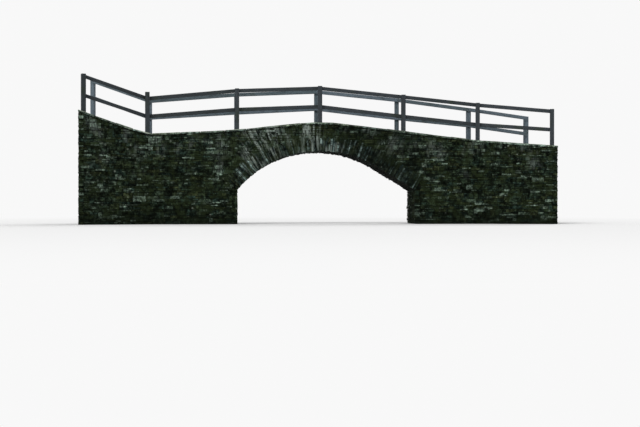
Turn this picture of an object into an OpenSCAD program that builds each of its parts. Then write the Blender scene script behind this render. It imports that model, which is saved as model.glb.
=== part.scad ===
// Humpbacked slate footbridge of one span, with a timber rail fence along both edges.
// X runs along the bridge, Y across it and Z up. Z = 0 is the foot of the walls, and X = 0 the crown.
// Lengths are in millimetres and angles in degrees.

/* [Arch] */
// Height of the soffit above the foot of the walls at the crown
crown_clear = 2180; // [1900:10:2600]
// Rise of the soffit from the springing to the crown
rise = 1160; // [1000:10:1300]
// Radius of the left half of the soffit
left_radius = 3200; // [2800:10:3800]
// Radius of the right half of the soffit
right_radius = 3400; // [3000:10:3800]
// Slope of the right haunch, which is straight down to the springing
haunch_slope = 31; // [28:0.5:35]
// How far the straight haunch lies inside the curve where it would touch it
haunch_lap = 1; // [0.5:0.1:3]
// Depth of the ring of thin stones on edge
ring_depth = 450; // [350:10:520]

/* [Masonry] */
// Width of the masonry over its two faces
masonry_width = 1400; // [1200:10:1700]
// Thickness of the spandrel and wing walls
wall_thickness = 350; // [280:10:420]
// Length of each abutment behind the springing
abutment_length = 1100; // [900:10:1300]
// Distance from the crown to the end of the approach walls
end_distance = 7050; // [7010:10:7500]
// Angle at which the wing walls splay outwards
splay_angle = 20; // [8:1:28]

/* [Walkway] */
// Height of the walkway's edge above the top of the ring at the crown
crown_cover = 420; // [380:10:520]
// Radius of the rounded crest of the walkway
crest_radius = 7000; // [5000:100:9000]
// Slope of the walkway beside the crest, as height over length
crest_slope = 0.115; // [0.09:0.005:0.14]
// Slope between the left outer post and the next one
left_slope = 0.05; // [0.02:0.005:0.08]
// Rise of the left approach away from the arch, as height over length
left_approach_slope = 0.325; // [0.2:0.005:0.35]
// Fall of the right approach, as height over length
right_approach_slope = 0.09; // [0.05:0.01:0.12]
// Thickness of the edge slabs
coping_thickness = 70; // [50:5:90]
// Width of the edge slabs
coping_width = 360; // [330:10:400]
// Overhang of the edge slabs beyond the wall face
coping_overhang = 30; // [10:5:50]
// Depth of the trodden path below the top of the edge slabs
path_drop = 25; // [10:5:35]

/* [Fence] */
// Distance from the crown to the first post on the left
left_post_1 = 2480; // [2380:10:2600]
// Distance from the crown to the second post on the left, where the fence splays
left_post_2 = 5120; // [4980:10:5200]
// Distance from the crown to the first post on the right
right_post_1 = 2530; // [2430:10:2650]
// Distance from the crown to the second post on the right, where the fence splays
right_post_2 = 4820; // [4750:10:5000]
// Distance from the crown to the last post at both ends
end_post = 6900; // [6700:10:6920]
// Distance from a wall face in to the centre line of its fence
fence_inset = 100; // [80:5:120]
// Side of the square posts
post_side = 125; // [100:5:140]
// Depth of a post's foot in the wall below the edge slabs
post_socket = 220; // [150:10:260]
// Height of the rails
rail_height = 110; // [80:5:130]
// Thickness of the rails
rail_thickness = 50; // [38:1:60]
// Distance from the top of a top rail to the top of the rail below it
rail_spacing = 550; // [450:10:600]
// Height of the handrail above the walkway's edge at the crown post
handrail_crown = 1080; // [950:10:1150]
// Height of the handrail above the walkway's edge at the first post on the left
handrail_left_1 = 1220; // [1000:10:1250]
// Height of the handrail above the walkway's edge at the second post on the left
handrail_left_2 = 1095; // [1000:5:1250]
// Height of the handrail above the walkway's edge at the first post on the right
handrail_right_1 = 1090; // [1000:10:1200]
// Height of the handrail above the walkway's edge at the second post on the right
handrail_right_2 = 1130; // [1000:10:1200]
// Height of the handrail above the walkway's edge at both end posts
handrail_end = 1080; // [1000:10:1200]
// How far a post stands above its handrail
post_top = 5; // [2:1:30]
// How far the second left post at the front stands above its handrail
tall_post_top = 130; // [60:5:150]

/* [Hidden] */
$fn = 720;

FRONT = -1;
REAR = 1;
stone_colour = [0.19, 0.22, 0.18];
coping_colour = [0.40, 0.44, 0.40];
earth_colour = [0.24, 0.19, 0.14];
timber_colour = [0.20, 0.23, 0.22];

// Soffit of two arcs and a straight haunch. Angles are measured from the crown.
spring_z = crown_clear - rise;
left_centre = [0, crown_clear - left_radius];
right_centre = [0, crown_clear - right_radius];
left_angle = acos((spring_z - left_centre.y) / left_radius);
haunch_down = [cos(haunch_slope), -sin(haunch_slope)];
haunch_foot = right_centre + (right_radius - haunch_lap) * from_crown(haunch_slope);
haunch_length = (haunch_foot.y - spring_z) / sin(haunch_slope);

// Points of the arch where the ring stands on its sloping seats
left_spring = left_centre + left_radius * from_crown(-left_angle);
left_seat = left_spring + ring_depth * from_crown(-left_angle);
right_spring = haunch_foot + haunch_length * haunch_down;
right_seat = right_spring + ring_depth * from_crown(haunch_slope);
left_back = left_spring.x - abutment_length;
right_back = right_spring.x + abutment_length;

// Line of the top of the edge slabs, from the left end to the right end
deck_height = crown_clear + ring_depth + crown_cover;
crest_half = crest_radius * sin(atan(crest_slope));
crest_steps = 8;
tangent_z = crest_z(crest_half);
left_1_z = tangent_z - crest_slope * (left_post_1 - crest_half);
left_2_z = left_1_z - left_slope * (left_post_2 - left_post_1);
right_2_z = tangent_z - crest_slope * (right_post_2 - crest_half);
deck_line = concat(
    [[-end_distance, left_2_z + left_approach_slope * (end_distance - left_post_2)],
     [-left_post_2, left_2_z],
     [-left_post_1, left_1_z]],
    [for (i = [0 : crest_steps])
        let (x = crest_half * (2 * i / crest_steps - 1)) [x, crest_z(x)]],
    [[right_post_2, right_2_z],
     [end_distance, right_2_z - right_approach_slope * (end_distance - right_post_2)]]
);

// Distances of the masonry's faces from the middle of the bridge
face_y = masonry_width / 2;
fill_y = face_y - wall_thickness;
coping_outer_y = face_y + coping_overhang;
coping_inner_y = coping_outer_y - coping_width;

// Fence: posts from left to right, and the height of the handrail's top at each
fence_y = face_y - fence_inset;
rail_outer_y = fence_y - post_side / 2;
post_x = [-end_post, -left_post_2, -left_post_1, 0, right_post_1, right_post_2, end_post];
handrail_z = [
    deck_z(-end_post) + handrail_end,
    deck_z(-left_post_2) + handrail_left_2,
    deck_z(-left_post_1) + handrail_left_1,
    deck_height + handrail_crown,
    deck_z(right_post_1) + handrail_right_1,
    deck_z(right_post_2) + handrail_right_2,
    deck_z(end_post) + handrail_end
];

// Sag of the rails at each post, where the fence has settled. Minus is a lift.
rear_handrail_sag = [-125, -20, 15, 0, -5, 50, 0];
front_lower_sag = [0, -20, 10, 0, 40, 45, 0];
rear_lower_sag = [-40, -40, 5, -20, 20, -50, -40];

last_post = len(post_x) - 1;
left_bend = 1;
right_bend = last_post - 1;
TOP_Z = deck_height * 2;
PAST = 10 * end_distance;

function from_crown(angle) = [sin(angle), cos(angle)];
function crest_z(x) = deck_height - crest_radius + sqrt(crest_radius ^ 2 - x ^ 2);
function deck_z(x) = lookup(x, deck_line);
function reversed(list) = [for (i = [len(list) - 1 : -1 : 0]) list[i]];
function lifted(line, dz) = [for (p = line) [p.x, p.y + dz]];

// Part of the deck line between two distances, with its ends cut there
function stretch(x0, x1) = concat(
    [[x0, deck_z(x0)]],
    [for (p = deck_line) if (p.x > x0 && p.x < x1) p],
    [[x1, deck_z(x1)]]
);

// Closed outline between two heights measured from the deck line
function deck_band(x0, x1, upper, lower) = concat(
    lifted(stretch(x0, x1), upper),
    reversed(lifted(stretch(x0, x1), lower))
);

// Closed outline from the underside of the edge slabs down to the foot of the walls
function wall_outline(x0, x1) = concat(
    lifted(stretch(x0, x1), -coping_thickness),
    [[x1, 0], [x0, 0]]
);

// Line that keeps a distance y from the middle of the bridge and splays at the bend posts
function side_line(y) =
    let (shift = (y - fence_y) * tan(splay_angle / 2),
         left_x = -left_post_2 + shift,
         right_x = right_post_2 - shift)
    [[-PAST, y + (PAST + left_x) * tan(splay_angle)],
     [left_x, y],
     [right_x, y],
     [PAST, y + (PAST - right_x) * tan(splay_angle)]];
function mirrored(line, side) = [for (p = line) [p.x, p.y * side]];

// Angle of the fence at a post: half the splay at the bends, and all of it at the ends
function post_turn(i, side) =
    let (share = i == 0 || i == last_post ? 1 : i == left_bend || i == right_bend ? 0.5 : 0,
         away = i <= left_bend ? -1 : 1)
    side * away * share * splay_angle;

// Distance of a post from the middle of the bridge
function post_y(i) = lookup(post_x[i], side_line(fence_y));
function rail_top(i, side) = handrail_z[i] - (side == REAR ? rear_handrail_sag[i] : 0);
function lower_rail_top(i, side) =
    rail_top(i, side) - rail_spacing - (side == REAR ? rear_lower_sag[i] : front_lower_sag[i]);
function post_head(i, side) = side == FRONT && i == left_bend ? tall_post_top : post_top;

// Solid whose side view is one outline and whose plan is another
module from_views(side_view, plan) {
    intersection() {
        rotate([90, 0, 0])
            linear_extrude(height = 2 * PAST, center = true)
                polygon(side_view);
        linear_extrude(height = TOP_Z)
            polygon(plan);
    }
}

// Plan between two distances from the middle, on one side of the bridge
function side_strip(y_near, y_far, side) = concat(
    mirrored(side_line(y_near), side),
    reversed(mirrored(side_line(y_far), side))
);

// Plan that reaches the same distance on both sides of the middle
function middle_strip(y) = concat(
    mirrored(side_line(y), FRONT),
    reversed(mirrored(side_line(y), REAR))
);

// Quarter of a disc, in side view, to one side of its upright radius
module quarter_disc(centre, radius, side) {
    translate(centre)
        intersection() {
            circle(r = radius);
            translate([side < 0 ? -radius : 0, 0])
                square(radius);
        }
}

// Everything below the soffit's curve raised by a depth
module under_arch(depth) {
    foot = haunch_foot + depth * from_crown(haunch_slope);
    quarter_disc(left_centre, left_radius + depth, -1);
    quarter_disc(right_centre, right_radius + depth, 1);
    polygon([foot, foot + 2 * right_radius * haunch_down, right_centre]);
}

// The space between the two sloping seats, from below the soffit to above the ring
module between_seats() {
    left_up = ring_depth * from_crown(-left_angle);
    right_up = ring_depth * from_crown(haunch_slope);
    polygon([
        left_spring - left_up / 2, left_seat + left_up,
        [0, TOP_Z],
        right_seat + right_up, right_spring - right_up / 2
    ]);
}

// Extrudes a side view across the bridge between two distances from its middle
module across(y_from, y_to) {
    translate([0, y_to, 0])
        rotate([90, 0, 0])
            linear_extrude(height = y_to - y_from)
                children();
}

module arch_barrel() {
    color(stone_colour)
        across(-face_y, face_y)
            difference() {
                intersection() {
                    between_seats();
                    under_arch(ring_depth);
                }
                under_arch(0);
            }
}

module abutment(spring, seat, back) {
    color(stone_colour)
        across(-face_y, face_y)
            difference() {
                polygon([[spring.x, 0], [spring.x, seat.y], [back, seat.y], [back, 0]]);
                between_seats();
            }
}

// Outline above the arch and both abutments, up to the underside of the edge slabs
module above_arch() {
    difference() {
        polygon(concat(
            lifted(stretch(left_back, right_back), -coping_thickness),
            [[right_back, right_seat.y], [right_spring.x, right_seat.y],
             [0, crown_clear],
             [left_spring.x, left_seat.y], [left_back, left_seat.y]]
        ));
        under_arch(ring_depth);
    }
}

module spandrel_wall(side) {
    color(stone_colour)
        difference() {
            across(min(side * fill_y, side * face_y), max(side * fill_y, side * face_y))
                above_arch();
            post_feet(side);
        }
}

module arch_fill() {
    color(earth_colour)
        across(-fill_y, fill_y)
            above_arch();
}

module wing_wall(x0, x1, side) {
    color(stone_colour)
        difference() {
            from_views(wall_outline(x0, x1), side_strip(fill_y, face_y, side));
            post_feet(side);
        }
}

module approach_fill(x0, x1) {
    color(earth_colour)
        from_views(wall_outline(x0, x1), middle_strip(fill_y));
}

module coping(x0, x1, side) {
    color(coping_colour)
        difference() {
            from_views(
                deck_band(x0, x1, 0, -coping_thickness),
                side_strip(coping_inner_y, coping_outer_y, side)
            );
            post_feet(side);
        }
}

module path_surface() {
    color(earth_colour)
        from_views(
            deck_band(-end_distance, end_distance, -path_drop, -coping_thickness),
            middle_strip(coping_inner_y)
        );
}

// A post from its socket up to a height above the handrail
module post_shape(i, side, head) {
    foot_z = deck_z(post_x[i]) - coping_thickness - post_socket;
    head_z = rail_top(i, side) + head;
    translate([post_x[i], side * post_y(i), foot_z])
        rotate([0, 0, post_turn(i, side)])
            translate([-post_side / 2, -post_side / 2, 0])
                cube([post_side, post_side, head_z - foot_z]);
}

module post_feet(side) {
    for (i = [0 : last_post])
        post_shape(i, side, 0);
}

module post(i, side) {
    color(timber_colour)
        post_shape(i, side, post_head(i, side));
}

// Side view of one rail of a bay, from the middle of one post to the middle of the next
function rail_outline(i, side, lower) =
    let (a = [post_x[i], lower ? lower_rail_top(i, side) : rail_top(i, side)],
         b = [post_x[i + 1], lower ? lower_rail_top(i + 1, side) : rail_top(i + 1, side)],
         depth = [0, rail_height])
    [a, b, b - depth, a - depth];

// Both rails of a bay. At a bend they are notched over the post.
module rails(i, side) {
    strip = side_strip(rail_outer_y - rail_thickness, rail_outer_y, side);
    color(timber_colour)
        for (lower = [false, true])
            difference() {
                from_views(rail_outline(i, side, lower), strip);
                if (i <= left_bend)
                    post_shape(left_bend, side, rail_height);
                if (i + 1 >= right_bend)
                    post_shape(right_bend, side, rail_height);
            }
}

arch_barrel();
abutment(left_spring, left_seat, left_back);  // left_abutment
abutment(right_spring, right_seat, right_back);  // right_abutment
spandrel_wall(FRONT);  // front_spandrel_wall
spandrel_wall(REAR);  // rear_spandrel_wall
wing_wall(-end_distance, left_back, FRONT);  // front_left_wing_wall
wing_wall(right_back, end_distance, FRONT);  // front_right_wing_wall
wing_wall(-end_distance, left_back, REAR);  // rear_left_wing_wall
wing_wall(right_back, end_distance, REAR);  // rear_right_wing_wall
arch_fill();
approach_fill(-end_distance, left_back);  // left_approach_fill
approach_fill(right_back, end_distance);  // right_approach_fill
coping(-end_distance, left_back, FRONT);  // front_left_coping
coping(left_back, right_back, FRONT);  // front_crown_coping
coping(right_back, end_distance, FRONT);  // front_right_coping
coping(-end_distance, left_back, REAR);  // rear_left_coping
coping(left_back, right_back, REAR);  // rear_crown_coping
coping(right_back, end_distance, REAR);  // rear_right_coping
path_surface();
for (i = [0 : last_post]) {
    post(i, FRONT);
    post(i, REAR);
}
for (i = [0 : last_post - 1]) {
    rails(i, FRONT);
    rails(i, REAR);
}
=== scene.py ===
"""A humpbacked slate footbridge with a timber rail fence, dressed stone by stone around its CAD solids.

X runs along the bridge, Y across it and Z up from the foot of the walls. Everything is in metres.
"""

import bisect
import math
import random

import bmesh
import bpy
from mathutils import Matrix, Vector, noise


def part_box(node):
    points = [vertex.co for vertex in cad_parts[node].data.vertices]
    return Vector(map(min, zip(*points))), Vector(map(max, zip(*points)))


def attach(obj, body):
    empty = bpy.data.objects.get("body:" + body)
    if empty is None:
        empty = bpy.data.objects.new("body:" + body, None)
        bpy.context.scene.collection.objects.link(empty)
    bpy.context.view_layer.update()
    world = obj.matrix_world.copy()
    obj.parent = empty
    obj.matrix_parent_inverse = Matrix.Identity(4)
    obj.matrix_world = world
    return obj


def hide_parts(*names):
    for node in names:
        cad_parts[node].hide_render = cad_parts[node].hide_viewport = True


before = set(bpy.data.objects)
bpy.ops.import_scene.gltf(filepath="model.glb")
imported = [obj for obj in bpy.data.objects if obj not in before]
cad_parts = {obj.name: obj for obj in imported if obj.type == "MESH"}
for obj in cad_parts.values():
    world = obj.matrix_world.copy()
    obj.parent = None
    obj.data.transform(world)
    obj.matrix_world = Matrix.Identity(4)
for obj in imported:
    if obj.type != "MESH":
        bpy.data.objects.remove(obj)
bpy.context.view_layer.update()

# Sizes of the part, as its CAD source has them

CROWN_CLEAR = 2.180
SPRING_Z = 1.020
LEFT_RADIUS = 3.200
RIGHT_RADIUS = 3.400
HAUNCH_SLOPE = math.radians(31)
HAUNCH_LAP = 0.001
RING_DEPTH = 0.450

MASONRY_HALF = 0.700
WALL_THICKNESS = 0.350
ABUTMENT_LENGTH = 1.100
END_X = 7.050
SPLAY = math.radians(20)

DECK_HEIGHT = 3.050
CREST_RADIUS = 7.000
CREST_SLOPE = 0.115
LEFT_SLOPE = 0.05
LEFT_APPROACH_SLOPE = 0.325
RIGHT_APPROACH_SLOPE = 0.09
COPING_THICKNESS = 0.070
COPING_WIDTH = 0.360
COPING_OVERHANG = 0.030
COPING_OUTER = MASONRY_HALF + COPING_OVERHANG
COPING_INNER = COPING_OUTER - COPING_WIDTH
PATH_DROP = 0.025

LEFT_POST_1, LEFT_POST_2 = -2.480, -5.120
RIGHT_POST_1, RIGHT_POST_2 = 2.530, 4.820
END_POST = 6.900
POSTS_X = (-END_POST, LEFT_POST_2, LEFT_POST_1, 0.0, RIGHT_POST_1, RIGHT_POST_2, END_POST)
FENCE_Y = 0.600
POST_SIDE = 0.125
RAIL_THICKNESS = 0.050
RAIL_HEIGHT = 0.110

FRONT, REAR = -1, 1
SIDES = {"front": FRONT, "rear": REAR}
ENDS = {"left": -1, "right": 1}

# Lines that the stones follow

CREST_HALF = CREST_RADIUS * math.sin(math.atan(CREST_SLOPE))
TANGENT_Z = DECK_HEIGHT - CREST_RADIUS + math.sqrt(CREST_RADIUS ** 2 - CREST_HALF ** 2)
LEFT_1_Z = TANGENT_Z - CREST_SLOPE * (-LEFT_POST_1 - CREST_HALF)
LEFT_2_Z = LEFT_1_Z - LEFT_SLOPE * (LEFT_POST_1 - LEFT_POST_2)
RIGHT_2_Z = TANGENT_Z - CREST_SLOPE * (RIGHT_POST_2 - CREST_HALF)


def deck_z(x):
    """Height of the top of the edge slabs."""
    if x < LEFT_POST_2:
        return LEFT_2_Z + LEFT_APPROACH_SLOPE * (LEFT_POST_2 - x)
    if x < LEFT_POST_1:
        return LEFT_1_Z - LEFT_SLOPE * (LEFT_POST_1 - x)
    if x > RIGHT_POST_2:
        return RIGHT_2_Z - RIGHT_APPROACH_SLOPE * (x - RIGHT_POST_2)
    if abs(x) > CREST_HALF:
        return TANGENT_Z - CREST_SLOPE * (abs(x) - CREST_HALF)
    return DECK_HEIGHT - CREST_RADIUS + math.sqrt(CREST_RADIUS ** 2 - x * x)


def bend_x(end, y):
    """Where a line at distance y from the middle splays, at the left (-1) or right (1) end."""
    shift = (y - FENCE_Y) * math.tan(SPLAY / 2)
    return LEFT_POST_2 + shift if end < 0 else RIGHT_POST_2 - shift


def line_y(x, y):
    """Distance from the middle at x of the line that runs at distance y over the arch."""
    left, right = bend_x(-1, y), bend_x(1, y)
    if x < left:
        return y + (left - x) * math.tan(SPLAY)
    if x > right:
        return y + (x - right) * math.tan(SPLAY)
    return y


LEFT_CENTRE_Z = CROWN_CLEAR - LEFT_RADIUS
RIGHT_CENTRE_Z = CROWN_CLEAR - RIGHT_RADIUS
LEFT_ANGLE = math.acos((SPRING_Z - LEFT_CENTRE_Z) / LEFT_RADIUS)
HAUNCH_ANGLE = HAUNCH_SLOPE + math.acos(1 - HAUNCH_LAP / RIGHT_RADIUS)
HAUNCH_START = Vector((
    RIGHT_RADIUS * math.sin(HAUNCH_ANGLE),
    RIGHT_CENTRE_Z + RIGHT_RADIUS * math.cos(HAUNCH_ANGLE),
))
HAUNCH_LENGTH = (HAUNCH_START.y - SPRING_Z) / math.sin(HAUNCH_SLOPE)
LEFT_ARC = LEFT_RADIUS * LEFT_ANGLE
RIGHT_ARC = RIGHT_RADIUS * HAUNCH_ANGLE
SOFFIT_LENGTH = LEFT_ARC + RIGHT_ARC + HAUNCH_LENGTH


def soffit(s):
    """Point of the soffit in side view at length s, and the direction out of the ring there.

    The length runs from the left springing, and out of the ring is away from the opening.
    """
    s -= LEFT_ARC
    if s < RIGHT_ARC:
        radius, centre_z = (LEFT_RADIUS, LEFT_CENTRE_Z) if s < 0 else (RIGHT_RADIUS, RIGHT_CENTRE_Z)
        out = Vector((math.sin(s / radius), math.cos(s / radius)))
        return Vector((0, centre_z)) + radius * out, out
    out = Vector((math.sin(HAUNCH_SLOPE), math.cos(HAUNCH_SLOPE)))
    down = Vector((out.y, -out.x))
    return HAUNCH_START + (s - RIGHT_ARC) * down, out


LEFT_SPRING, LEFT_OUT = soffit(0)
RIGHT_SPRING, RIGHT_OUT = soffit(SOFFIT_LENGTH)
LEFT_SEAT = LEFT_SPRING + RING_DEPTH * LEFT_OUT
RIGHT_SEAT = RIGHT_SPRING + RING_DEPTH * RIGHT_OUT
LEFT_BACK = LEFT_SPRING.x - ABUTMENT_LENGTH
RIGHT_BACK = RIGHT_SPRING.x + ABUTMENT_LENGTH


def curve_z(x, depth):
    """Height at x of the soffit's curve raised by a depth."""
    if x < 0:
        return LEFT_CENTRE_Z + math.sqrt((LEFT_RADIUS + depth) ** 2 - x * x)
    haunch = HAUNCH_START + depth * Vector((math.sin(HAUNCH_SLOPE), math.cos(HAUNCH_SLOPE)))
    if x < haunch.x:
        return RIGHT_CENTRE_Z + math.sqrt((RIGHT_RADIUS + depth) ** 2 - x * x)
    return haunch.y - (x - haunch.x) * math.tan(HAUNCH_SLOPE)


def under_arch(place):
    """Whether a point lies in the opening under the arch."""
    return LEFT_SPRING.x < place.x < RIGHT_SPRING.x and place.z < curve_z(place.x, 0)


# Materials

def srgb(r, g, b):
    """A colour given in 0 to 255 screen values, as the shader wants it."""
    linear = (((v / 255 + 0.055) / 1.055) ** 2.4 if v > 10 else v / 255 / 12.92 for v in (r, g, b))
    return (*linear, 1.0)


def grey(level):
    """A grey. Multiplied in, it darkens below 1 and brightens above."""
    return (level, level, level, 1.0)


def tinted(colour, amount, shares):
    """A colour with its red, green and blue changed by shares of themselves."""
    return tuple(c * (1 + share * amount) for c, share in zip(colour, shares)) + (1.0,)


class Shading:
    """Short ways to add the nodes that all finishes here share."""

    def __init__(self, tree):
        self.nodes = tree.nodes
        self.links = tree.links
        self.position = self.nodes.new("ShaderNodeTexCoord").outputs["Object"]

    def stretched(self, scale, vector=None):
        mapping = self.nodes.new("ShaderNodeMapping")
        mapping.inputs["Scale"].default_value = scale
        self.links.new(vector or self.position, mapping.inputs["Vector"])
        return mapping.outputs["Vector"]

    def noise(self, scale, detail, rough, vector=None, distortion=0.0):
        node = self.nodes.new("ShaderNodeTexNoise")
        node.inputs["Scale"].default_value = scale
        node.inputs["Detail"].default_value = detail
        node.inputs["Roughness"].default_value = rough
        node.inputs["Distortion"].default_value = distortion
        self.links.new(vector or self.position, node.inputs["Vector"])
        return node.outputs["Fac"]

    def cells(self, scale):
        """Distance to the nearest of scattered points."""
        node = self.nodes.new("ShaderNodeTexVoronoi")
        node.inputs["Scale"].default_value = scale
        self.links.new(self.position, node.inputs["Vector"])
        return node.outputs["Distance"]

    def attribute(self, name, output="Fac"):
        node = self.nodes.new("ShaderNodeAttribute")
        node.attribute_name = name
        return node.outputs[output]

    def maths(self, operation, a, b=0.5):
        node = self.nodes.new("ShaderNodeMath")
        node.operation = operation
        for socket, value in zip(node.inputs, (a, b)):
            if isinstance(value, (int, float)):
                socket.default_value = value
            else:
                self.links.new(value, socket)
        return node.outputs["Value"]

    def plus(self, a, b):
        return self.maths("ADD", a, b)

    def times(self, a, b):
        return self.maths("MULTIPLY", a, b)

    def larger(self, a, b):
        return self.maths("MAXIMUM", a, b)

    def window(self, value, low, high):
        """0 below low, 1 above high, and smooth between."""
        node = self.nodes.new("ShaderNodeMapRange")
        node.interpolation_type = "SMOOTHSTEP"
        node.inputs["From Min"].default_value = low
        node.inputs["From Max"].default_value = high
        self.links.new(value, node.inputs["Value"])
        return node.outputs["Result"]

    def ramp(self, value, stops):
        node = self.nodes.new("ShaderNodeValToRGB")
        ramp = node.color_ramp
        while len(ramp.elements) < len(stops):
            ramp.elements.new(1.0)
        for element, (place, colour) in zip(ramp.elements, stops):
            element.position = place
            element.color = colour
        self.links.new(value, node.inputs["Fac"])
        return node.outputs["Color"]

    def mix(self, amount, a, b, blend="MIX"):
        node = self.nodes.new("ShaderNodeMix")
        node.data_type = "RGBA"
        node.blend_type = blend
        for index, value in ((0, amount), (6, a), (7, b)):
            if isinstance(value, (int, float, tuple)):
                node.inputs[index].default_value = value
            else:
                self.links.new(value, node.inputs[index])
        return node.outputs[2]

    def axes(self):
        """The three coordinates of the position."""
        node = self.nodes.new("ShaderNodeSeparateXYZ")
        self.links.new(self.position, node.inputs["Vector"])
        return node.outputs["X"], node.outputs["Y"], node.outputs["Z"]

    def together(self, x, y, z):
        node = self.nodes.new("ShaderNodeCombineXYZ")
        for socket, value in zip(node.inputs, (x, y, z)):
            self.links.new(value, socket)
        return node.outputs["Vector"]

    def near(self, value, middle, core, reach):
        """1 within core of middle, 0 past reach."""
        away = self.maths("ABSOLUTE", self.maths("SUBTRACT", value, middle))
        return self.window(away, reach, core)

    def facing_up(self):
        geometry = self.nodes.new("ShaderNodeNewGeometry")
        node = self.nodes.new("ShaderNodeSeparateXYZ")
        self.links.new(geometry.outputs["Normal"], node.inputs["Vector"])
        return node.outputs["Z"]


class Surface(Shading):
    """A material."""

    def __init__(self, name, roughness, specular):
        self.material = bpy.data.materials.new(name)
        self.material.use_nodes = True
        super().__init__(self.material.node_tree)
        self.shader = self.nodes["Principled BSDF"]
        self.shader.inputs["Roughness"].default_value = roughness
        self.shader.inputs["Specular IOR Level"].default_value = specular

    def finish(self, colour, bump, strength, depth):
        """Joins a colour, and a bump of a depth in metres, to the shader."""
        self.links.new(colour, self.shader.inputs["Base Color"])
        node = self.nodes.new("ShaderNodeBump")
        node.inputs["Strength"].default_value = strength
        node.inputs["Distance"].default_value = depth
        self.links.new(bump, node.inputs["Height"])
        self.links.new(node.outputs["Normal"], self.shader.inputs["Normal"])
        return self.material


MOSS = srgb(30, 40, 23)
MOSS_LIGHT = srgb(58, 68, 41)
LIME = srgb(148, 160, 152)
# Dark of damp stone, used also for the painted shade over the right haunch
DAMP_AND_SHADE = srgb(13, 18, 13)
# Painted shade for faces turned down
PAINTED_UNDERSIDE_SHADE = srgb(7, 10, 7)
LICHEN = srgb(140, 150, 136)
PAINTED_TOP_LIGHT = srgb(168, 176, 162)
FADED = srgb(112, 124, 112)
ALGAE = srgb(44, 55, 36)
CHECK = srgb(16, 17, 16)

RUSTY_SHARES = (0.28, 0.03, -0.22)
BLUISH_SHARES = (-0.10, 0.02, 0.28)

# Places of the stains and of the painted shade. The runs of lime fan out over the arch and fall straight past
# it
LIMED_CROWN_X = -0.30
LIMED_HAUNCH_X = -1.75
LIMED_HEIGHTS = (1.2, 1.9)
PAST_ARCH = (2.1, 2.7)
MOSS_PAD_X, MOSS_PAD_Z = -0.72, 2.45
SEAM_RADIUS = RIGHT_RADIUS + RING_DEPTH + 0.02
# Painted shadow of ivy leaves, in patches over the right haunch
PAINTED_SHADE_X = 1.8
DAMP_HEIGHTS = (0.85, 0.30)


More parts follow.
